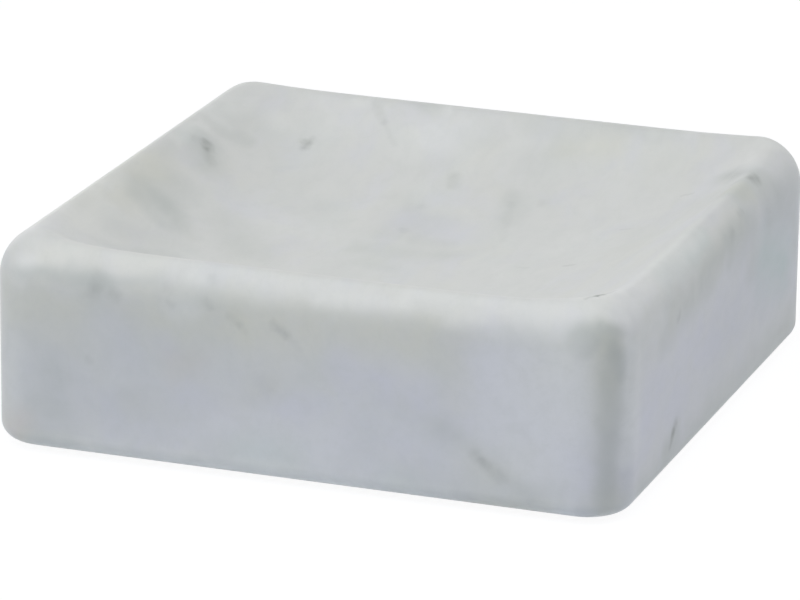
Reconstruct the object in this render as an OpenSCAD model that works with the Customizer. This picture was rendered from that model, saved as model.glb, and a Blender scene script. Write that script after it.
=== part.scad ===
// Square stone soap dish: one thick block with rolled edges, a shallow bowl sunk into its top
// and four thin round pads stuck under its base.
// The origin is at the centre of the footprint, on the surface that the pads stand on.

/* [Block] */
// Length of each side of the square block
block_w = 120; // [90:1:150]
// Height of the block before the bowl is cut, from its underside
block_h = 39.6; // [30:0.1:60]
// Radius of the upright corners and of the roll along the top edges
edge_r = 9; // [5:0.5:12]
// Radius of the edge round the underside
base_r = 3.25; // [2:0.25:5]

/* [Bowl] */
// Distance from a side face to where the bowl's wall reaches the level of the uncut top
bowl_inset = 3.5; // [2:0.25:8]
// Depth of the bowl at its middle, below the uncut top
bowl_depth = 16.25; // [8:0.25:20]
// How late the floor turns up into the walls: 2 is an even hollow, more has a flatter floor
bowl_turn = 3.2; // [2:0.1:4]
// How square the bowl's outline is at the rim: 2 is a circle, more is squarer
rim_squareness = 8; // [4:0.5:12]
// How square the bowl's floor is near its middle
floor_squareness = 2.5; // [2:0.5:4]
// Height over which the crest of the rim is rounded between the roll and the bowl
crest_blend = 2.25; // [1.5:0.25:5]

/* [Pads] */
// Diameter of each pad
pad_d = 12; // [8:0.5:20]
// Thickness of each pad
pad_t = 1; // [0.6:0.1:3]
// Radius of the edge round the lower face of each pad
pad_edge_r = 0.3; // [0.1:0.05:0.5]
// Distance from a side face to the nearest edge of a pad
pad_inset = 10; // [7:0.5:16]

/* [Hidden] */
$fn = 64;

block_top = pad_t + block_h;
// Centre line of the upright corners, from the middle of the block
corner_place = block_w / 2 - edge_r;
bowl_half = block_w / 2 - bowl_inset;
pad_place = block_w / 2 - pad_inset - pad_d / 2;

// Height by which the bowl's cutter clears the block where it has left the crest
crest_lift = 0.2;
// Height by which the cutter rises above the uncut top
overrun = 2;
// Reach of the cutter down the roll, as a share of the roll's radius
roll_share = 0.7;
// Half widths of the bowl's rings, as shares of its half width at the uncut top
ring_shares = [
    0.1, 0.22, 0.34, 0.45, 0.55, 0.64, 0.72, 0.79, 0.845, 0.885,
    0.915, 0.94, 0.96, 0.975, 0.99, 1.005, 1.02, 1.035, 1.05, 1.12
];
// Points round each ring
ring_steps = 96;
// Degrees by which the points of a ring are drawn towards its four corners
corner_draw = 7;

// Lower of two heights, rounded over a given difference between them
function blended_low(a, b, blend) =
    min(a, b) - pow(max(blend - abs(a - b), 0), 2) / (4 * blend);

// Direction of one point of a ring, closer together towards the corners
function bearing(step) =
    360 * step / ring_steps + corner_draw * sin(4 * 360 * step / ring_steps);

// Distance from the middle to a ring with rounded-square outline, in one direction
function ring_reach(share, angle) =
    let(squareness = floor_squareness + (rim_squareness - floor_squareness) * pow(share, 2))
    share * bowl_half
        / pow(pow(abs(cos(angle)), squareness) + pow(abs(sin(angle)), squareness), 1 / squareness);

// Height of the uncut block over a point: flat, then falling away down the roll
function roll_height(x, y) =
    let(
        past = norm([max(abs(x) - corner_place, 0), max(abs(y) - corner_place, 0)]),
        held = min(past, edge_r * roll_share)
    )
    block_top - edge_r + sqrt(pow(edge_r, 2) - pow(held, 2));

// Height of the hollow's wall on a ring
function wall_height(share) = block_top - bowl_depth * (1 - pow(share, bowl_turn));

// One point of the dished surface, which runs over the crest and leaves the block there
function bowl_point(share, angle) =
    let(
        x = ring_reach(share, angle) * cos(angle),
        y = ring_reach(share, angle) * sin(angle)
    )
    [x, y, blended_low(wall_height(share), roll_height(x, y) + crest_lift, crest_blend)];

// Two triangles between neighbouring points of one ring and the next
function ring_band(ring, step) =
    let(
        next = (step + 1) % ring_steps,
        inner = 1 + ring * ring_steps,
        outer = inner + ring_steps
    )
    [
        [inner + step, outer + step, inner + next],
        [inner + next, outer + step, outer + next]
    ];

// Profile of the block across its width, rolled at the top and rounded at the base
module block_profile() {
    square_w = block_w - 2 * edge_r;
    translate([-square_w / 2, 0])
        square([square_w, block_h]);
    translate([-block_w / 2, base_r])
        square([block_w, block_h - base_r - edge_r]);
    for (side = [-1, 1]) {
        translate([side * corner_place, block_h - edge_r])
            circle(edge_r);
        translate([side * (block_w / 2 - base_r), base_r])
            circle(base_r);
    }
    translate([-block_w / 2 + base_r, 0])
        square([block_w - 2 * base_r, base_r]);
}

// Outer half of that profile at one corner, from the corner's centre line outwards
module corner_profile() {
    intersection() {
        translate([-corner_place, 0])
            block_profile();
        square([edge_r, block_h]);
    }
}

// The block before the bowl is cut: two crossing bars and four revolved corners
module uncut_block() {
    for (turn = [0, 90])
        rotate([0, 0, turn])
            translate([0, corner_place, 0])
                rotate([90, 0, 0])
                    linear_extrude(2 * corner_place)
                        block_profile();
    for (turn = [0:90:270])
        rotate([0, 0, turn])
            translate([corner_place, corner_place, 0])
                rotate_extrude(angle = 90)
                    corner_profile();
}

// Everything that the bowl takes away: the dished surface, a wall up from its outer ring and a flat top
module bowl_cutter() {
    rings = len(ring_shares);
    last = rings - 1;
    dished = [
        for (share = ring_shares, step = [0:ring_steps - 1]) bowl_point(share, bearing(step))
    ];
    top = [
        for (step = [0:ring_steps - 1])
            let(point = dished[last * ring_steps + step])
            [point.x, point.y, block_top + overrun]
    ];
    middle_fan = [for (step = [0:ring_steps - 1]) [0, 1 + step, 1 + (step + 1) % ring_steps]];
    bands = [for (ring = [0:last], step = [0:ring_steps - 1]) each ring_band(ring, step)];
    lid = [for (step = [ring_steps - 1:-1:0]) 1 + rings * ring_steps + step];
    polyhedron(
        points = concat([[0, 0, wall_height(0)]], dished, top),
        faces = concat(middle_fan, bands, [lid]),
        convexity = 4
    );
}

module dish_body() {
    color("gainsboro")
        difference() {
            translate([0, 0, pad_t])
                uncut_block();
            bowl_cutter();
        }
}

module pad(across, along) {
    color("dimgray")
        translate([across * pad_place, along * pad_place, 0])
            rotate_extrude()
                intersection() {
                    square([pad_d / 2, pad_t]);
                    union() {
                        square([pad_d / 2 - pad_edge_r, pad_t]);
                        translate([0, pad_edge_r])
                            square([pad_d / 2, pad_t - pad_edge_r]);
                        translate([pad_d / 2 - pad_edge_r, pad_edge_r])
                            circle(pad_edge_r);
                    }
                }
}

module pad_front_left() { pad(-1, -1); }
module pad_front_right() { pad(1, -1); }
module pad_back_left() { pad(-1, 1); }
module pad_back_right() { pad(1, 1); }

dish_body();
pad_front_left();
pad_front_right();
pad_back_left();
pad_back_right();
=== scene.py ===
import math

import bmesh
import bpy
from mathutils import Matrix, Vector


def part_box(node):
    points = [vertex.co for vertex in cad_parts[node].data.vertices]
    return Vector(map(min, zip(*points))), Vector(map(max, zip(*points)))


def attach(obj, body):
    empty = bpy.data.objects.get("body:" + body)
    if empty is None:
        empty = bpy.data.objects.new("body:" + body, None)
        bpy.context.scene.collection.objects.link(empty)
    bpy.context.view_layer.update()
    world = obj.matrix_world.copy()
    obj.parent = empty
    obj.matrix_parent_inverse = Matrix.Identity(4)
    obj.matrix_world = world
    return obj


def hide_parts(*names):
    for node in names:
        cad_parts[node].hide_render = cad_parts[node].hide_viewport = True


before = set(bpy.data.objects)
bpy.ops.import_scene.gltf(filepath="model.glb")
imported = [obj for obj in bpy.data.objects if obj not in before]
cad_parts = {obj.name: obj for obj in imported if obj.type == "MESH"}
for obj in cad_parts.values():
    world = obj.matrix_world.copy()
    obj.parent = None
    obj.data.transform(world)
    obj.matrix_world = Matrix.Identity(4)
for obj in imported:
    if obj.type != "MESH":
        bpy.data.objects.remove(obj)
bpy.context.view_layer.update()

MM = 0.001
WHOLE_TURN = 2 * math.pi
QUARTER_TURN = math.pi / 2

# The block and its bowl, with the sizes of the solids
body_low, body_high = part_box("dish_body")
BLOCK_HALF = (body_high.x - body_low.x) / 2
UNDERSIDE = body_low.z
UNCUT_TOP = UNDERSIDE + 39.6 * MM
EDGE_R = 9 * MM
BASE_R = 3.25 * MM
BOWL_HALF = BLOCK_HALF - 3.5 * MM
BOWL_DEPTH = 16.25 * MM
BOWL_TURN = 3.2
RIM_SQUARENESS = 8
FLOOR_SQUARENESS = 2.5
CREST_BLEND = 2.25 * MM

# How many points a loop of the block has, and how far they are pulled towards its corners
RING_POINTS = 288
CORNER_DRAW = math.radians(9)
# How many loops each stretch of its surface has, and how closely the bowl's crowd to the rim
BASE_LOOPS = 10
ROLL_LOOPS = 14
CREST_LOOPS = 7
BOWL_LOOPS = 48
RIM_CROWDING = 1.25
# Inset from the sides at which the roll's loops turn into the bowl's
ROLL_END = 2.5 * MM
# Distance from each end of the flat sides to the loop that holds them flat
WALL_SUPPORT = 0.6 * MM
# Rounds in which the share of the bowl at a point is found
SHARE_ROUNDS = 8


def blended_low(a, b, blend):
    """The lower of two heights, rounded over a given difference between them."""
    return min(a, b) - max(blend - abs(a - b), 0) ** 2 / (4 * blend)


def square_reach(bearing, half, corner):
    """Distance from the middle to a square with rounded corners."""
    along, across = abs(math.cos(bearing)), abs(math.sin(bearing))
    if along < across:
        along, across = across, along
    straight = half / along
    centre = half - corner
    if straight * across <= centre:
        return straight
    middle = centre * (along + across)
    return middle + math.sqrt(max(middle**2 - 2 * centre**2 + corner**2, 0))


def bowl_squareness(share):
    """How square the bowl is at a share of its half width."""
    return FLOOR_SQUARENESS + (RIM_SQUARENESS - FLOOR_SQUARENESS) * share**2


def bowl_reach(bearing, share):
    """Distance from the middle to one of the bowl's nested outlines."""
    power = bowl_squareness(share)
    spread = abs(math.cos(bearing)) ** power + abs(math.sin(bearing)) ** power
    return share * BOWL_HALF / spread ** (1 / power)


def bowl_share(x, y):
    """The share of the bowl's half width whose outline passes through a point."""
    share = max(abs(x), abs(y)) / BOWL_HALF
    for _ in range(SHARE_ROUNDS):
        power = bowl_squareness(share)
        share = (abs(x) ** power + abs(y) ** power) ** (1 / power) / BOWL_HALF
    return share


def roll_height(x, y):
    """Height of the uncut block over a point: flat, then falling away down the roll."""
    centre = BLOCK_HALF - EDGE_R
    past = math.hypot(max(abs(x) - centre, 0), max(abs(y) - centre, 0))
    return UNCUT_TOP - EDGE_R + math.sqrt(max(EDGE_R**2 - past**2, 0))


def top_height(x, y):
    """Height of the finished top over a point: roll, crest and bowl."""
    wall = UNCUT_TOP - BOWL_DEPTH * (1 - bowl_share(x, y) ** BOWL_TURN)
    return blended_low(wall, roll_height(x, y), CREST_BLEND)


def at(bearing, reach, height=None):
    """A point seen from the middle: on the finished top unless a height is given."""
    x, y = reach * math.cos(bearing), reach * math.sin(bearing)
    return Vector((x, y, top_height(x, y) if height is None else height))


def side_point(bearing, inset, height):
    """A point of a level loop round the block, drawn in from its sides."""
    corner = max(EDGE_R - inset, 0)
    return at(bearing, square_reach(bearing, BLOCK_HALF - inset, corner), height)


def roll_point(bearing, angle):
    """A point on the roll, at an angle from level."""
    uncut = UNCUT_TOP - EDGE_R + EDGE_R * math.sin(angle)
    point = side_point(bearing, EDGE_R * (1 - math.cos(angle)), uncut)
    point.z = min(uncut, top_height(point.x, point.y)) if angle > 0 else uncut
    return point


def crest_point(bearing, ease):
    """A point part of the way from the roll's last loop to the bowl's first."""
    outer = square_reach(bearing, BLOCK_HALF - ROLL_END, EDGE_R - ROLL_END)
    return at(bearing, outer + (bowl_reach(bearing, 1) - outer) * ease)


def block_loops():
    """The block's loops after the first, as functions of bearing, from underside to bowl floor."""
    for step in range(1, BASE_LOOPS + 1):
        angle = QUARTER_TURN * step / BASE_LOOPS
        inset = BASE_R * (1 - math.sin(angle))
        height = UNDERSIDE + BASE_R * (1 - math.cos(angle))
        yield lambda bearing, inset=inset, height=height: side_point(bearing, inset, height)
    for height in (UNDERSIDE + BASE_R + WALL_SUPPORT, UNCUT_TOP - EDGE_R - WALL_SUPPORT):
        yield lambda bearing, height=height: side_point(bearing, 0, height)
    roll_end_angle = math.acos(1 - ROLL_END / EDGE_R)
    for step in range(ROLL_LOOPS + 1):
        angle = roll_end_angle * step / ROLL_LOOPS
        yield lambda bearing, angle=angle: roll_point(bearing, angle)
    for step in range(1, CREST_LOOPS + 1):
        yield lambda bearing, ease=step / CREST_LOOPS: crest_point(bearing, ease)
    for step in range(1, BOWL_LOOPS):
        share = 1 - (step / BOWL_LOOPS) ** RIM_CROWDING
        yield lambda bearing, share=share: at(bearing, bowl_reach(bearing, share))


def bearing_of(point):
    """Direction of a point from the middle."""
    return math.atan2(point.y, point.x)


def grown_parts(grown, kind):
    """The parts of one kind that an extrusion made."""
    return [part for part in grown["geom"] if isinstance(part, kind)]


def finished(bm, name, material):
    """Makes an object of a bmesh, facing outwards and smooth."""
    bmesh.ops.recalc_face_normals(bm, faces=bm.faces)
    for face in bm.faces:
        face.smooth = True
    mesh = bpy.data.meshes.new(name)
    bm.to_mesh(mesh)
    bm.free()
    mesh.materials.append(material)
    piece = bpy.data.objects.new(name, mesh)
    bpy.context.scene.collection.objects.link(piece)
    return piece


def stands_for(piece, node):
    """Hangs a finished piece under the root body and hides the solid that it stands for."""
    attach(piece, "root")
    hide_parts(node)


def stone_block(material):
    """The block: one loop drawn up its sides, over the crest and down to the middle of the bowl."""
    bm = bmesh.new()
    bmesh.ops.create_circle(bm, segments=RING_POINTS, radius=1)
    for vert in bm.verts:
        turn = bearing_of(vert.co)
        vert.co = side_point(turn + CORNER_DRAW * math.sin(4 * turn), BASE_R, UNDERSIDE)
    loop = list(bm.edges)
    bmesh.ops.contextual_create(bm, geom=loop)
    for place in block_loops():
        grown = bmesh.ops.extrude_edge_only(bm, edges=loop)
        loop = grown_parts(grown, bmesh.types.BMEdge)
        for vert in grown_parts(grown, bmesh.types.BMVert):
            vert.co = place(bearing_of(vert.co))
    grown = bmesh.ops.extrude_edge_only(bm, edges=loop)
    middle = Vector((0, 0, UNCUT_TOP - BOWL_DEPTH))
    bmesh.ops.pointmerge(bm, verts=grown_parts(grown, bmesh.types.BMVert), merge_co=middle)
    stands_for(finished(bm, "stone_dish", material), "dish_body")


# The pads: their steps round, their lower edge, and the film of glue on top
PAD_STEPS = 64
PAD_EDGE = 0.3 * MM
PAD_EDGE_STEPS = 4
GLUE_T = 0.12 * MM
GLUE_INSET = 0.15 * MM
# Edges that turn less than this look smooth
SHARP = math.radians(40)
# Points nearer than this are one
MERGE = 0.001 * MM


def rubber_pad(node, material):
    """One stick-on pad: a rubber disc with an eased lower edge, on a narrower film of glue."""
    low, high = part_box(node)
    centre = (low + high) / 2
    radius = (high.x - low.x) / 2
    outline = [Vector((0, 0, low.z)), Vector((radius - PAD_EDGE, 0, low.z))]
    for step in range(1, PAD_EDGE_STEPS + 1):
        angle = QUARTER_TURN * step / PAD_EDGE_STEPS
        out = radius - PAD_EDGE + PAD_EDGE * math.sin(angle)
        outline.append(Vector((out, 0, low.z + PAD_EDGE * (1 - math.cos(angle)))))
    outline += [
        Vector((radius, 0, high.z - GLUE_T)),
        Vector((radius - GLUE_INSET, 0, high.z - GLUE_T)),
        Vector((radius - GLUE_INSET, 0, high.z)),
        Vector((0, 0, high.z)),
    ]
    bm = bmesh.new()
    verts = [bm.verts.new(point) for point in outline]
    edges = [bm.edges.new(pair) for pair in zip(verts, verts[1:])]
    bmesh.ops.spin(
        bm, geom=verts + edges, cent=(0, 0, 0), axis=(0, 0, 1), angle=WHOLE_TURN,
        steps=PAD_STEPS, use_merge=True,
    )
    bmesh.ops.remove_doubles(bm, verts=bm.verts, dist=MERGE)
    bmesh.ops.translate(bm, verts=bm.verts, vec=Vector((centre.x, centre.y, 0)))
    for edge in bm.edges:
        edge.smooth = edge.calc_face_angle() < SHARP
    stands_for(finished(bm, node + "_rubber", material), node)


# Places among the Mix node's sockets of those that mix colours
MIX_FACTOR = 0
MIX_FIRST = 6
MIX_SECOND = 7
MIX_RESULT = 2


class Wire:
    """A shader value on which sums are done as on a number."""

    def __init__(self, nodes, socket):
        self.nodes = nodes
        self.socket = socket

    def maths(self, operation, *values):
        """A Math node on values in turn."""
        return self.nodes.node("ShaderNodeMath", {"operation": operation}, dict(enumerate(values)))

    def __add__(self, other):
        return self.maths("ADD", self, other)

    __radd__ = __add__

    def __mul__(self, other):
        return self.maths("MULTIPLY", self, other)

    __rmul__ = __mul__

    def at_most(self, other):
        return self.maths("MINIMUM", self, other)

    def at_least(self, other):
        return self.maths("MAXIMUM", self, other)

    def rise(self, start, end):
        """0 up to start and 1 past end, smoothly between."""
        sockets = {"Value": self, "From Min": start, "From Max": end}
        settings = {"interpolation_type": "SMOOTHSTEP"}
        return self.nodes.node("ShaderNodeMapRange", settings, sockets)


class Nodes:
    """The nodes of one material, or of the world."""

    def __init__(self, owner):
        owner.use_nodes = True
        self.tree = owner.node_tree
        self.tree.nodes.clear()

    def node(self, kind, settings=None, sockets=None, output=0):
        """Any node: its type, its settings, and the values or links of its sockets."""
        made = self.tree.nodes.new(kind)
        for key, value in (settings or {}).items():
            setattr(made, key, value)
        for key, value in (sockets or {}).items():
            if isinstance(value, Wire):
                self.tree.links.new(value.socket, made.inputs[key])
            else:
                made.inputs[key].default_value = value
        return Wire(self, made.outputs[output])

    def vector(self, operation, *values, output=0, **named):
        """A Vector Math node on values in turn, or named."""
        sockets = dict(enumerate(values))
        sockets.update(named)
        return self.node("ShaderNodeVectorMath", {"operation": operation}, sockets, output)

    def place(self):
        """The piece's own coordinates, in millimetres."""
        own = self.node("ShaderNodeTexCoord", output="Object")
        return self.vector("SCALE", own, Scale=1 / MM)

    def noise(self, place, grain, detail=2.0, roughness=0.5, output="Fac"):
        """Noise whose features are about grain millimetres across."""
        sockets = {"Vector": place, "Scale": 1 / grain, "Detail": detail, "Roughness": roughness}
        return self.node("ShaderNodeTexNoise", {}, sockets, output)

    def shaken(self, place, grain, reach, detail=2.0):
        """A place moved about by noise, by up to about half of reach."""
        noise = self.noise(place, grain, detail, output="Color")
        shift = self.vector("SUBTRACT", noise, (0.5, 0.5, 0.5))
        return self.vector("MULTIPLY_ADD", shift, (reach, reach, reach), place)

    def mixed(self, factor, first, second):
        """One colour turned towards another."""
        sockets = {MIX_FACTOR: factor, MIX_FIRST: first, MIX_SECOND: second}
        return self.node("ShaderNodeMix", {"data_type": "RGBA"}, sockets, output=MIX_RESULT)

    def streak(self, place, start, end, reach, strength):
        """Some strength along a line between two points, falling to 0 at a distance from it."""
        start, line = Vector(start), Vector(end) - Vector(start)
        offset = self.vector("SUBTRACT", place, start)
        along = self.vector("DOT_PRODUCT", offset, line / line.length_squared, output="Value")
        share = self.node("ShaderNodeClamp", {}, {"Value": along})
        foot = self.vector("SCALE", line, Scale=share)
        aside = self.vector("DISTANCE", offset, foot, output="Value")
        sockets = {
            "Value": aside, "From Min": reach, "From Max": 0, "To Min": 0, "To Max": strength,
        }
        settings = {"interpolation_type": "SMOOTHSTEP"}
        return self.node("ShaderNodeMapRange", settings, sockets)

    def shown(self):
        """1 for rays that show the background: from the camera, off gloss or through glass."""
        camera_ray, glossy_ray, glass_ray = [
            self.node("ShaderNodeLightPath", output=name)
            for name in ("Is Camera Ray", "Is Glossy Ray", "Is Transmission Ray")
        ]
        return camera_ray.at_least(glossy_ray).at_least(glass_ray)

    def ends_in(self, kind, shader):
        """Puts a shader into the output node."""
        output = self.tree.nodes.new(kind)
        self.tree.links.new(shader.socket, output.inputs["Surface"])


# Linear colours of the stone and of what runs through it; SHADE and the chalk colour also serve as
# painted shade and painted light in some clouds
STONE = (0.705, 0.722, 0.712, 1)
SHADE = (0.52, 0.555, 0.54, 1)
CHALK_AND_PAINTED_LIGHT = (0.84, 0.86, 0.85, 1)
LAVENDER = (0.665, 0.68, 0.775, 1)
TEAL = (0.53, 0.635, 0.62, 1)
SAGE = (0.70, 0.708, 0.62, 1)
RUST = (0.66, 0.60, 0.54, 1)
MINERAL = (0.20, 0.225, 0.215, 1)

# Faint patterns all through the stone: colour, grain in millimetres and strength
FAINT = [
    (SHADE, 15, 0.16),
    (CHALK_AND_PAINTED_LIGHT, 11, 0.17),
    (LAVENDER, 9, 0.28),
    (TEAL, 10, 0.08),
    (SAGE, 11, 0.14),
]
# Millimetres of stone between one faint pattern and the next, so that no two are alike
FAINT_APART = Vector((60, 90, 30))
# The bedding draws the patterns out from front to back
BEDDING = (1, 0.45, 1)
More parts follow.
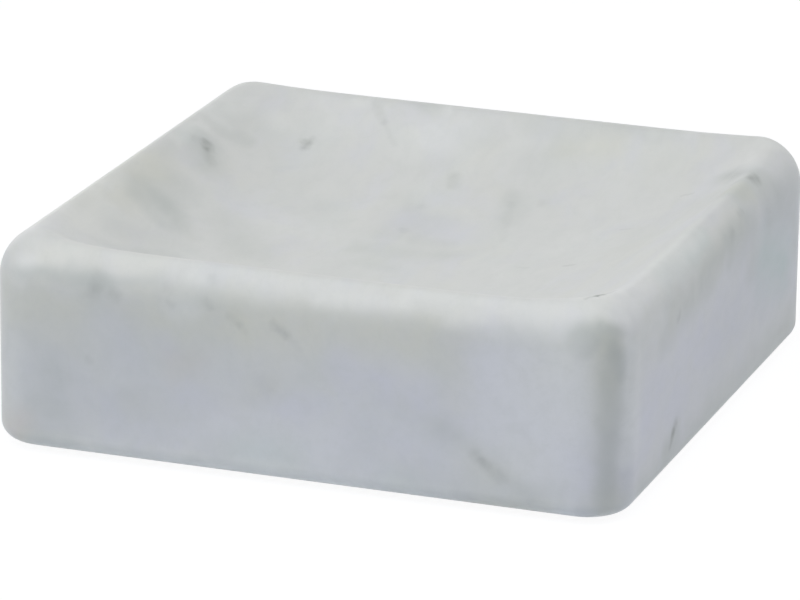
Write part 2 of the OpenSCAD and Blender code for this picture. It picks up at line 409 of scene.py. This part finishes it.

# Soft clouds, some of them painted shade and painted light: colour, start and end in the dish's own
# millimetres, reach and strength
CLOUDS_AND_PAINTED_LIGHT = [
    (SAGE, (-54.5, -35, 38), (-51, 0, 36.8), 8, 0.4),
    (SAGE, (-53, 4, 37.5), (-51, 8, 36.6), 6, 0.2),
    (SAGE, (14, 49, 35), (22, 51, 36), 6, 0.35),
    (SAGE, (-55, -60, 30), (-10, -60, 29), 10, 0.45),
    (SAGE, (-10, -60, 31), (30, -60, 32), 8, 0.45),
    (SAGE, (-52, -57.4, 38), (-28, -57.2, 38.1), 4, 0.2),
    (SAGE, (-50, -60, 25), (-39, -60, 22), 8, 0.4),
    (SAGE, (-31, -60, 12.5), (-29, -60, 12), 5, 0.4),
    (SAGE, (-17, -60, 12), (-5, -60, 19), 5, 0.3),
    (SAGE, (30, -60, 27), (30, -60, 21), 5, 0.35),
    (SAGE, (34, -60, 10), (37, -60, 8), 4, 0.4),
    (SAGE, (-52, -60, 1), (46, -60, 1), 4, 0.8),
    (SAGE, (56, -58, 35.6), (57.4, -57, 3), 5, 0.9),
    (SAGE, (60, -30, 30), (59, 13, 35), 6, 0.5),
    (SAGE, (56.2, 21.4, 38.9), (56.8, 24, 38.6), 4.5, 0.9),
    (LAVENDER, (-9, 24, 25), (2, 19, 25), 9, 0.4),
    # Broad lavender on the lower front and right faces: partly the stone's tint, partly painted
    # cool light from below
    (LAVENDER, (-45, -60, 14), (25, -60, 10), 17, 0.45),
    (LAVENDER, (-36, -60, 26), (-34, -60, 24), 9, 0.4),
    (LAVENDER, (38, -60, 24), (52, -60, 12), 17, 0.65),
    (LAVENDER, (10, -60, 24), (22, -60, 21), 8, 0.55),
    (LAVENDER, (-26, -60, 25), (-24, -60, 24), 4, 0.35),
    (LAVENDER, (60, -45, 16), (60, 45, 22), 20, 0.65),
    (LAVENDER, (60, 30, 31), (60, 42, 30), 7, 0.45),
    (LAVENDER, (-60, -40, 12), (-60, 30, 18), 20, 0.4),
    (LAVENDER, (-40, 60, 14), (35, 60, 20), 20, 0.4),
    (TEAL, (60, 29, 24), (60, 42, 20), 12, 0.65),
    (TEAL, (-9, -60, 6), (-2, -60, 6), 7, 0.3),
    (TEAL, (18, -60, 4), (21, -60, 4), 5, 0.2),
    (TEAL, (58, -30, 37.5), (58, -5, 37.5), 5, 0.3),
    (TEAL, (-53, 20, 37.5), (-53, 24, 37.5), 4, 0.3),
    (RUST, (-56, -59, 5), (-53, -60, 5), 6, 0.35),
    (RUST, (-23, -60, 21), (-20, -60, 21), 6, 0.2),
    (CHALK_AND_PAINTED_LIGHT, (44, -60, 14), (48, -60, 22), 20, 0.4),
    (CHALK_AND_PAINTED_LIGHT, (38, -60, 25), (48, -60, 30), 12, 0.2),
    # Painted light: lighter strips beside the near corner's painted shade and over its top
    (CHALK_AND_PAINTED_LIGHT, (59.6, -53, 30), (59.7, -52.6, 14), 5.5, 0.35),
    (CHALK_AND_PAINTED_LIGHT, (59.2, -54.2, 33), (59.3, -54.4, 12), 3.2, 0.4),
    (CHALK_AND_PAINTED_LIGHT, (54.4, -55.8, 38.4), (58, -53.2, 36.8), 3.5, 0.35),
    (CHALK_AND_PAINTED_LIGHT, (-55, -59, 35.5), (-52, -58.6, 35.5), 4, 0.35),
    (CHALK_AND_PAINTED_LIGHT, (-54.5, -59.2, 20), (-54.5, -59.2, 12), 4, 0.3),
    (CHALK_AND_PAINTED_LIGHT, (-53, -37, 38), (-52, -25, 37), 7, 0.45),
    (CHALK_AND_PAINTED_LIGHT, (-53.6, -17, 38), (-53.6, -10, 38), 4, 0.35),
    (CHALK_AND_PAINTED_LIGHT, (-53, 24, 37.8), (-52.6, 29, 37.6), 4.5, 0.6),
    (CHALK_AND_PAINTED_LIGHT, (-53.3, 40, 38), (-52, 46, 37.6), 5, 0.4),
    (CHALK_AND_PAINTED_LIGHT, (-54.7, 36, 38.9), (-51, 34, 36.4), 4, 0.4),
    (CHALK_AND_PAINTED_LIGHT, (-53.6, 17, 38), (-52.5, 23, 37.2), 3.5, 0.4),
    (CHALK_AND_PAINTED_LIGHT, (-54.3, -22, 38.5), (-54.2, -18, 38.4), 3.5, 0.3),
    (CHALK_AND_PAINTED_LIGHT, (-52.5, -45, 38.6), (-52.6, -42, 38.4), 4, 0.3),
    (CHALK_AND_PAINTED_LIGHT, (-54.2, -59.2, 34), (-54.2, -59.3, 32.5), 3.5, 0.35),
    (CHALK_AND_PAINTED_LIGHT, (-24.4, -60, 31.4), (-19.4, -60, 31.9), 3.5, 0.22),
    (CHALK_AND_PAINTED_LIGHT, (-46, 45, 35.4), (-44, 45, 35), 5, 0.3),
    (CHALK_AND_PAINTED_LIGHT, (-15, 47.5, 33.7), (-7, 50, 35), 8, 0.4),
    (CHALK_AND_PAINTED_LIGHT, (-23, 9, 25), (-20, 10, 25), 9, 0.17),
    (CHALK_AND_PAINTED_LIGHT, (-22, -60, 31), (-20, -60, 31), 4, 0.35),
    (CHALK_AND_PAINTED_LIGHT, (-14, -60, 7), (4, -60, 8), 10, 0.22),
    # Painted light along the front's bottom edge, against the shade where it meets the floor
    (CHALK_AND_PAINTED_LIGHT, (-50, -60, 1.5), (28, -60, 1.8), 4, 0.55),
    (CHALK_AND_PAINTED_LIGHT, (48, -60, 1.8), (50, -60, 1.8), 4, 0.4),
    # Painted light: the front roll's bright band, lighter along its top and down to its lower edge
    (CHALK_AND_PAINTED_LIGHT, (-46, -57, 38.6), (-20, -57, 38.6), 4, 0.15),
    (CHALK_AND_PAINTED_LIGHT, (-20, -57.5, 38), (6, -57.5, 38), 4, 0.15),
    (CHALK_AND_PAINTED_LIGHT, (4, -59.2, 35.6), (20, -59, 35.8), 2.8, 0.35),
    (CHALK_AND_PAINTED_LIGHT, (29, -58.9, 35.8), (34, -58.9, 35.8), 2.6, 0.3),
    (CHALK_AND_PAINTED_LIGHT, (-20.6, -59, 35.7), (-19, -59.1, 35.5), 2.8, 0.35),
    (CHALK_AND_PAINTED_LIGHT, (20, -57, 38.6), (50, -55.4, 39.4), 5, 0.26),
    (CHALK_AND_PAINTED_LIGHT, (52, -54, 39.8), (56, -50, 39.8), 4, 0.45),
    (CHALK_AND_PAINTED_LIGHT, (58, -46, 38.4), (58.4, -20, 38), 5, 0.3),
    (CHALK_AND_PAINTED_LIGHT, (57, -18, 38.2), (57, -10, 38.4), 3.5, 0.25),
    # Painted light along the bowl's side of the right crest, evening out how the crest catches the
    # light
    (CHALK_AND_PAINTED_LIGHT, (55.4, -52, 39.3), (55.6, -46, 39.3), 3, 0.35),
    (CHALK_AND_PAINTED_LIGHT, (55.6, -46, 39.3), (56, -28, 39), 2.6, 0.25),
    (CHALK_AND_PAINTED_LIGHT, (56.2, -24, 38.8), (56.9, -5, 38.5), 2.6, 0.28),
    (CHALK_AND_PAINTED_LIGHT, (54.6, 50, 39.6), (55.6, 50.4, 39.5), 3.5, 0.35),
    (CHALK_AND_PAINTED_LIGHT, (30, 54.3, 38.7), (37, 54.3, 38.7), 3, 0.4),
    (CHALK_AND_PAINTED_LIGHT, (-15, 54.4, 38.6), (-12, 54.4, 38.6), 2.6, 0.4),
    (CHALK_AND_PAINTED_LIGHT, (-31, 54.4, 38.7), (-27, 54.3, 38.6), 2.6, 0.35),
    (CHALK_AND_PAINTED_LIGHT, (24, 14, 25.6), (27, 20, 26), 8, 0.2),
    (CHALK_AND_PAINTED_LIGHT, (-60, 10, 26), (-60, 30, 20), 14, 0.35),
    (CHALK_AND_PAINTED_LIGHT, (-20, 60, 26), (10, 60, 30), 14, 0.35),
    (SHADE, (-50.4, -9, 35.6), (-46, -7.4, 33), 7, 0.55),
    (SHADE, (-46, -7.4, 33), (-41.5, -12, 30.3), 6, 0.55),
    (SHADE, (-48, 2, 34), (-46.6, 0, 33), 7, 0.35),
    (SHADE, (-50.4, 23.6, 35.7), (-47.6, 16.6, 33.8), 7, 0.52),
    (SHADE, (-51, 38, 36.8), (-46.8, 44, 35.6), 5, 0.12),
    (SHADE, (-50, 32, 35.8), (-47.2, 35, 34.2), 4, 0.38),
    (SHADE, (-49.6, -12.5, 35), (-44, -15, 32), 4, 0.4),
    (SHADE, (-47, -27, 33.4), (-40, -20, 30.2), 8, 0.22),
    # Painted shade: the bowl just behind the near crest, darker where the crest shades it
    (SHADE, (-46, -38, 34.2), (-41.6, -32, 31.2), 4, 0.3),
    (SHADE, (-41.6, -31, 31.2), (-37, -26, 29), 4.5, 0.32),
    (SHADE, (-50.6, -4, 35.8), (-49, -6, 34.8), 4, 0.3),
    (SHADE, (-35, 0, 28), (-29, -9, 26), 9, 0.3),
    (SHADE, (-31, 18, 27), (-28, 22, 26), 7, 0.18),
    (SHADE, (-7, 17, 24.5), (-6.5, 24, 25.5), 10, 0.25),
    (SHADE, (-13, 31, 26.6), (-10, 29, 26.2), 5, 0.22),
    (SHADE, (-11, 5, 24.4), (3, 7, 24.4), 7, 0.28),
    (SHADE, (7.7, 36, 28), (9.2, 27, 25.8), 5, 0.24),
    (SHADE, (11, 46, 33), (12.5, 49.5, 35), 8, 0.25),
    (SHADE, (-6, 49, 34.6), (-3, 50, 35.4), 6, 0.2),
    (SHADE, (6, 53, 37.4), (34, 54.5, 38.8), 5, 0.28),
    (SHADE, (-17, 54.7, 38.8), (-14.5, 54.7, 38.8), 3.5, 0.38),
    (SHADE, (49, 39.6, 36), (56.5, 33, 38.4), 5, 0.6),
    (SHADE, (57, 33, 37.6), (58.8, 37, 36), 5, 0.35),
    (SHADE, (57, 29, 38.2), (56, 19, 38.8), 4.5, 0.65),
    (SHADE, (60, -36, 28), (60, -16, 30), 5.5, 0.34),
    (SHADE, (60, -12, 31.6), (59.2, 16, 34.6), 5.5, 0.6),
    (SHADE, (60, 6, 30), (60, 14, 30), 5, 0.35),
    (SHADE, (60, -23, 31), (60, -19, 31.6), 4, 0.35),
    (SHADE, (59.4, 15, 35.6), (59, 17, 36), 4, 0.35),
    (SHADE, (59.4, 20, 34.8), (60, 20, 26), 7, 0.42),
    (SHADE, (60, 32, 32), (59.8, 46, 31), 9, 0.6),
    # Painted shade: the right face darker along its bottom edge, where less light comes up from the
    # floor
    (SHADE, (60, -46, 3), (60, 46, 4), 7, 0.48),
    (SHADE, (60, 2, 14), (60, 24, 22), 18, 0.15),
    # Painted shade along the top of the right crest, where it catches the light
    (SHADE, (55.5, 20, 39), (55.2, 4, 39), 3, 0.18),
    (SHADE, (55, 28.4, 38.9), (55.4, 29.4, 38.8), 3, 0.45),
    # Painted shade: more of the right face's darker bottom edge
    (SHADE, (60, -50, 4), (60, -40, 4), 4, 0.2),
    # Painted shade: the lower end of the near corner's dark band
    (SHADE, (58.2, -56.5, 12), (58.2, -56.5, 5), 2.2, 0.25),
    (SHADE, (-42, -59, 35.6), (-37.6, -59.3, 35), 2.2, 0.32),
    (SHADE, (-6, -3, 24.4), (-4, -3, 24.4), 5, 0.25),
    (SHADE, (-3, 13.5, 24.5), (2, 14, 24.5), 4, 0.22),
    (SHADE, (59.3, 12, 35.4), (59.6, 4, 34.2), 2.8, 0.3),
    (SHADE, (60, -34, 33), (60, -26, 32.4), 3.5, 0.3),
    (SHADE, (60, 49, 26), (60, 50, 20), 4, 0.35),
    (SHADE, (60, -26, 8), (60, -32, 5), 5, 0.55),
    # Painted shade: a dark line along the lower edge of the front roll
    (SHADE, (-55, -59.3, 34.6), (-36, -59.6, 34.4), 2.6, 0.5),
    (SHADE, (-43, -58.8, 36.2), (-39, -59.2, 35.4), 2.6, 0.35),
    (SHADE, (-36, -59.5, 34.6), (-26, -59, 35.8), 2.6, 0.3),
    (SHADE, (-38.4, -59.3, 35), (-38, -60, 31.5), 6, 0.28),
    (SHADE, (-47, -60, 16), (-46, -60, 15.6), 5, 0.36),
    (SHADE, (-49, -60, 10), (-46, -60, 9), 5, 0.33),
    (SHADE, (-46, -60, 10), (-38, -60, 14), 12, 0.14),
    (SHADE, (-50, -60, 3), (-44, -60, 3), 4, 0.3),
    (SHADE, (-31, -60, 12), (-28, -60, 11), 7, 0.2),
    (SHADE, (-16, -60, 6), (-14, -60, 6), 5, 0.2),
    (SHADE, (-7, -60, 18.7), (-6, -60, 19.3), 7, 0.16),
    (SHADE, (-54, -60, 20), (-20, -60, 26), 18, 0.2),
    # Painted shade: a thin dark line along the lower edge of the front roll
    (SHADE, (-26, -60, 33), (50, -59.8, 34), 2.6, 0.14),
    (SHADE, (20, -60, 5), (48, -60, 5), 5, 0.17),
    # Painted shade: a dark band down the near upright corner, with a darker cap at its top
    (SHADE, (56.4, -57.8, 33), (56.9, -57.7, 4), 3.2, 0.42),
    (SHADE, (51, -59, 36), (54, -58.8, 34.4), 3.2, 0.75),
    (SHADE, (51.6, -59.6, 34.4), (53, -59.6, 32.2), 3, 0.35),
    (SHADE, (50.6, -58.9, 35.8), (54.8, -57.8, 36.3), 1.8, 0.4),
    (SHADE, (54.8, -57.8, 36.3), (57.4, -55.6, 35.8), 1.8, 0.35),
    (SHADE, (55, -57.4, 36.6), (57.4, -56.6, 36.2), 3.4, 1),
    (SHADE, (57, -57, 33.5), (58.3, -56, 28), 2.8, 0.5),
    (SHADE, (58.3, -56, 28), (58, -56.4, 14), 2.4, 0.25),
    (SHADE, (19, -60, 18.4), (27, -60, 15), 5, 0.12),
    (SHADE, (27, -60, 15), (44, -60, 4.4), 5, 0.22),
    (SHADE, (-60, -36, 30), (-60, -16, 14), 8, 0.3),
    (SHADE, (-60, 36, 12), (-60, 44, 8), 9, 0.3),
    (SHADE, (-38, 60, 30), (-10, 60, 12), 7, 0.3),
    (SHADE, (30, 60, 12), (44, 60, 20), 9, 0.25),
]

# Dark streaks: start and end in the same millimetres, reach and strength
STREAKS = [
    ((-50.4, 24.4, 35.8), (-49.7, 22.8, 35.2), 2.2, 0.4),
    ((-52.4, 22, 37), (-50.6, 23.6, 35.8), 2, 0.14),
    ((-49.6, 22, 35), (-47.6, 18.6, 33.8), 2.4, 0.2),
    ((-37, 42.6, 32.2), (-36.8, 41.2, 31.8), 1.7, 0.31),
    ((-36.2, 44.2, 32.9), (-36.8, 42.6, 32.2), 1.3, 0.14),
    ((-27.2, 54.4, 38.6), (-23.7, 50.5, 35.7), 1.6, 0.11),
    ((-23.7, 50.5, 35.7), (-19.9, 46, 32.8), 1.2, 0.06),
    ((-5.3, 39.6, 29.6), (-4.8, 37.6, 28.7), 2.3, 0.16),
    ((7.6, 36.4, 28.3), (8.2, 34, 27.6), 3, 0.06),
    ((8.2, 34, 27.6), (11.7, 18, 24.9), 1.6, 0.05),
    ((13.8, 35.6, 28.1), (14, 34.6, 27.8), 1.8, 0.09),
    ((28.6, 4, 26.3), (30.4, 4.4, 26.5), 0.9, 0.2),
    ((20.2, 3.8, 25), (21, 3.8, 25), 1.2, 0.1),
    ((33, 24.6, 27.8), (34.6, 24.3, 28), 0.8, 0.14),
    ((41.2, 37.1, 31.9), (43, 37, 32.4), 0.7, 0.16),
    ((-8.2, 18.6, 24.8), (-7.6, 17.6, 24.7), 1.6, 0.1),
    ((-8.6, 29.6, 26.4), (-8.2, 28.8, 26.3), 1.2, 0.07),
    ((51.2, -54, 40), (52.8, -51.6, 40.1), 0.7, 0.22),
    ((52.6, -52, 40.1), (53.1, -50.4, 40.1), 1, 0.85),
    ((53.1, -50.4, 40.1), (53.7, -45.9, 39.4), 0.8, 0.22),
    ((56.8, 31.8, 38.5), (56.6, 30.8, 38.6), 2.2, 0.42),
    ((49.6, 40, 36.2), (56.6, 32, 38.5), 2.2, 0.1),
    ((58.6, 16.7, 36.5), (58.6, 15, 36.3), 1.6, 0.14),
    ((59.4, 8.6, 35), (59.4, 7.2, 34.8), 2, 0.14),
    ((60, -26.3, 30), (60, -27.2, 29.2), 1.5, 0.2),
    ((60, -27.2, 9.3), (60, -28.7, 8), 1.9, 0.38),
    ((60, -28.5, 8), (60, -30.2, 6.3), 1.6, 0.32),
    ((-38.1, -59.2, 35.3), (-38.2, -60, 33), 2.4, 0.12),
    ((-39.1, -60, 31.9), (-38.6, -60, 32.6), 2.2, 0.1),
    ((-35.6, -60, 32.4), (-34.4, -60, 32), 1.9, 0.15),
    ((-25, -59.4, 34.7), (-24, -59.4, 34.7), 1.6, 0.08),
    ((-24.3, -60, 32), (-23.7, -60, 31.8), 1.2, 0.1),
    ((-17.4, -60, 32.8), (-16.4, -60, 32.2), 1.4, 0.13),
    ((-17.3, -58.3, 37), (-16.5, -58.3, 36.8), 1.3, 0.1),
    ((-12.9, -60, 30.9), (-11, -60, 29.5), 1.5, 0.11),
    ((-11, -60, 29.5), (-9.6, -60, 28.5), 1.2, 0.07),
    ((-4.4, -60, 30.6), (-2.2, -60, 28.6), 1.6, 0.2),
    ((-2.2, -60, 28.6), (0.2, -60, 26.4), 1.2, 0.05),
    ((-6.6, -60, 19.8), (-5.6, -60, 19), 2.4, 0.07),
    ((-39.9, -60, 19.8), (-39.3, -60, 19.3), 1.3, 0.08),
    ((19.4, -60, 19), (27, -60, 15.6), 2.6, 0.02),
    ((27, -60, 15.6), (33.4, -60, 11.1), 2.4, 0.035),
    ((33.4, -60, 11.1), (38.1, -60, 7.6), 2.2, 0.13),
    ((34.6, -60, 10.2), (36, -60, 9.2), 1.5, 0.16),
    ((38.1, -60, 7.6), (43.5, -60, 4.6), 1.8, 0.05),
    ((-60, -34, 28), (-60, -20, 16), 2.2, 0.14),
    ((-60, 17, 13), (-60, 19, 11), 2, 0.2),
    ((-60, 31, 27), (-60, 32, 25), 1.6, 0.25),
    ((-32, 60, 27), (-14, 60, 14), 2.4, 0.14),
    ((-14, 60, 14), (-6, 60, 9), 1.6, 0.22),
    ((23, 60, 27), (24.5, 60, 25), 2, 0.25),
    ((40, 60, 13), (42, 60, 12), 1.6, 0.2),
    ((-24, -36, 1), (14, 6, 1), 2.6, 0.15),
    ((14, 6, 1), (30, 32, 1), 1.6, 0.22),
]

# Share of their strength that clouds and streaks have everywhere, and the most that noise adds
CLOUD_LEAST = 0.8
CLOUD_SWING = 0.4
STREAK_LEAST = 0.75
STREAK_SWING = 0.35
# The most that the dark streaks cover
DARKEST = 0.9
# How strongly flecks and crystals show in the stone's colour
FLECK_TONE = 0.1
CRYSTAL_TONE = 0.05
# How high the stone's slow waves and its crystals stand in the bump, and the bump's strength
WAVE_HEIGHT = 0.6
CRYSTAL_HEIGHT = 0.02
BUMP = 0.4
# How rough honing leaves the stone, and what its crystals add
HONED = 0.36
CRYSTAL_ROUGHNESS = 0.08


def marble():
    """Cool white marble, honed: faint clouds and tints, soft dark streaks and a fine grain; some
    clouds are painted shade and painted light.
    """
    material = bpy.data.materials.new("marble_honed")
    stone = Nodes(material)
    place = stone.place()
    drifted = stone.shaken(place, grain=9, reach=4, detail=1)
    ragged = stone.shaken(place, grain=2.8, reach=1.6)
    ragged = stone.shaken(ragged, grain=0.8, reach=0.5)

    colour = STONE
    bedded = stone.vector("MULTIPLY", drifted, BEDDING)
    for number, (tone, grain, strength) in enumerate(FAINT):
        apart = stone.vector("ADD", bedded, FAINT_APART * number)
        veil = stone.noise(apart, grain, detail=4).rise(0.45, 0.72)
        colour = stone.mixed(veil * strength, colour, tone)

    mottle = stone.noise(bedded, grain=5, detail=3).rise(0.3, 0.7) * CLOUD_SWING + CLOUD_LEAST
    # Clouds of the stone's own colours, and clouds of painted shade and painted light
    for tone, start, end, reach, strength in CLOUDS_AND_PAINTED_LIGHT:
        cloud_and_painted_light = stone.streak(drifted, start, end, reach, strength) * mottle
        colour = stone.mixed(cloud_and_painted_light, colour, tone)

    broken = stone.noise(place, grain=2).rise(0.3, 0.65) * STREAK_SWING + STREAK_LEAST
    dark = 0
    for start, end, reach, strength in STREAKS:
        dark = stone.streak(ragged, start, end, reach, strength) + dark
    colour = stone.mixed((dark * broken).at_most(DARKEST), colour, MINERAL)

    crystal = stone.noise(place, grain=0.7, detail=3, roughness=0.7)
    flecks = stone.noise(bedded, grain=2.4, detail=4, roughness=0.65).rise(0.4, 0.7)
    speckle = flecks * FLECK_TONE + crystal.rise(0.45, 0.8) * CRYSTAL_TONE
    colour = stone.mixed(speckle, colour, SHADE)

    height = stone.noise(place, grain=13) * WAVE_HEIGHT + crystal * CRYSTAL_HEIGHT
    bump = stone.node("ShaderNodeBump", {}, {"Strength": BUMP, "Distance": MM, "Height": height})
    roughness = crystal * CRYSTAL_ROUGHNESS + HONED
    sockets = {"Base Color": colour, "Roughness": roughness, "Normal": bump}
    stone.ends_in("ShaderNodeOutputMaterial", stone.node("ShaderNodeBsdfPrincipled", {}, sockets))
    return material


# Linear colours of the rubber, and the most that the dusty one covers
RUBBER = (0.016, 0.016, 0.017, 1)
RUBBER_DUSTY = (0.034, 0.034, 0.035, 1)
DUST = 0.6
# Depth of the grain that the mould leaves, and its strength
MOULD_DEPTH = 0.1 * MM
MOULD_BUMP = 0.4
# How rough the rubber is, and what that grain adds
MATT = 0.62
MOULD_ROUGHNESS = 0.2


def rubber():
    """Matt black rubber with a faint mould grain."""
    material = bpy.data.materials.new("pad_rubber_matt")
    pad = Nodes(material)
    place = pad.place()
    mould = pad.noise(place, grain=0.35, detail=3, roughness=0.7)
    colour = pad.mixed(pad.noise(place, grain=4) * DUST, RUBBER, RUBBER_DUSTY)
    sockets = {"Strength": MOULD_BUMP, "Distance": MOULD_DEPTH, "Height": mould}
    bump = pad.node("ShaderNodeBump", {}, sockets)
    sockets = {"Base Color": colour, "Roughness": mould * MOULD_ROUGHNESS + MATT, "Normal": bump}
    pad.ends_in("ShaderNodeOutputMaterial", pad.node("ShaderNodeBsdfPrincipled", {}, sockets))
    return material


FLOOR_TONE = (0.74, 0.78, 0.86, 1)
# Half the floor's width, in metres
FLOOR_HALF = 6
WHITE = (1, 1, 1, 1)
# Strength of the white that the floor shows, and its share against the lit floor with its shadow
SHOWN_WHITE = 1.1
SHOWN_SHARE = 0.85


def floor():
    """A wide pale floor that shows white but keeps the dish's shadow."""
    material = bpy.data.materials.new("floor_pale")
    pale = Nodes(material)
    matt = pale.node("ShaderNodeBsdfDiffuse", {}, {"Color": FLOOR_TONE})
    white = pale.node("ShaderNodeEmission", {}, {"Color": WHITE, "Strength": SHOWN_WHITE})
    sockets = {0: pale.shown() * SHOWN_SHARE, 1: matt, 2: white}
    pale.ends_in("ShaderNodeOutputMaterial", pale.node("ShaderNodeMixShader", {}, sockets))
    bm = bmesh.new()
    bmesh.ops.create_grid(bm, x_segments=1, y_segments=1, size=FLOOR_HALF)
    finished(bm, "floor", material)


# Strength of the light that comes from all round
AMBIENT = 0.045


def studio_air():
    """A little soft light from all round, which shows white."""
    world = bpy.data.worlds.new("studio")
    bpy.context.scene.world = world
    air = Nodes(world)
    strength = air.shown() * (1 - AMBIENT) + AMBIENT
    shader = air.node("ShaderNodeBackground", {}, {"Color": WHITE, "Strength": strength})
    air.ends_in("ShaderNodeOutputWorld", shader)


# Soft boxes: name, azimuth and elevation in degrees, side in metres and watts
BOXES = [
    ("key_front", -10, 60, 0.9, 3.8),
    ("key_left", -80, 60, 0.9, 1.8),
    ("key_right", 60, 60, 0.9, 4.4),
    ("left", -45, 30, 0.7, 3.4),
    ("back_left", -135, 15, 0.7, 0.7),
    ("back_right", 135, 30, 0.7, 2.4),
]
# Their distance from the dish, in metres
BOX_DISTANCE = 1.2


def towards(azimuth, elevation):
    """Direction from the dish: azimuth 0 is its front, 90 its right side."""
    a, e = math.radians(azimuth), math.radians(elevation)
    return Vector((math.sin(a) * math.cos(e), -math.cos(a) * math.cos(e), math.sin(e)))


def soft_box(name, azimuth, elevation, side, watts):
    """A square white lamp that faces the dish."""
    lamp = bpy.data.lights.new(name, "AREA")
    lamp.size = side
    lamp.energy = watts
    box = bpy.data.objects.new(name, lamp)
    away = towards(azimuth, elevation)
    box.location = away * BOX_DISTANCE
    box.rotation_mode = "QUATERNION"
    box.rotation_quaternion = away.to_track_quat("Z", "Y")
    bpy.context.scene.collection.objects.link(box)


# The photograph's view: a long lens, a little turned and aimed a little off the dish's middle
VIEW_AZIMUTH = 19.51
VIEW_ELEVATION = 17.99
VIEW_ROLL = math.radians(0.668)
VIEW_DISTANCE = 1.0209
VIEW_ASIDE = Vector((-2.06 * MM, -3.29 * MM))
VIEW_LENS = 246.95
SENSOR = 36


def camera():
    """The camera at the photograph's view."""
    back = towards(VIEW_AZIMUTH, VIEW_ELEVATION)
    level = Vector((0, 0, 1)).cross(back).normalized()
    upright = back.cross(level)
    right = level * math.cos(VIEW_ROLL) + upright * math.sin(VIEW_ROLL)
    up = upright * math.cos(VIEW_ROLL) - level * math.sin(VIEW_ROLL)
    data = bpy.data.cameras.new("camera")
    data.sensor_width = SENSOR
    data.lens = VIEW_LENS
    view = bpy.data.objects.new("camera", data)
    middle = Vector((0, 0, (UNDERSIDE + UNCUT_TOP) / 2))
    place = middle + back * VIEW_DISTANCE + right * VIEW_ASIDE.x + up * VIEW_ASIDE.y
    turned = Matrix((right, up, back)).transposed().to_4x4()
    view.matrix_world = Matrix.Translation(place) @ turned
    bpy.context.scene.collection.objects.link(view)
    bpy.context.scene.camera = view


bpy.context.scene.view_settings.view_transform = "Standard"
stone_block(marble())
pad_finish = rubber()
for pad_node in ("pad_front_left", "pad_front_right", "pad_back_left", "pad_back_right"):
    rubber_pad(pad_node, pad_finish)
floor()
studio_air()
for box in BOXES:
    soft_box(*box)
camera()
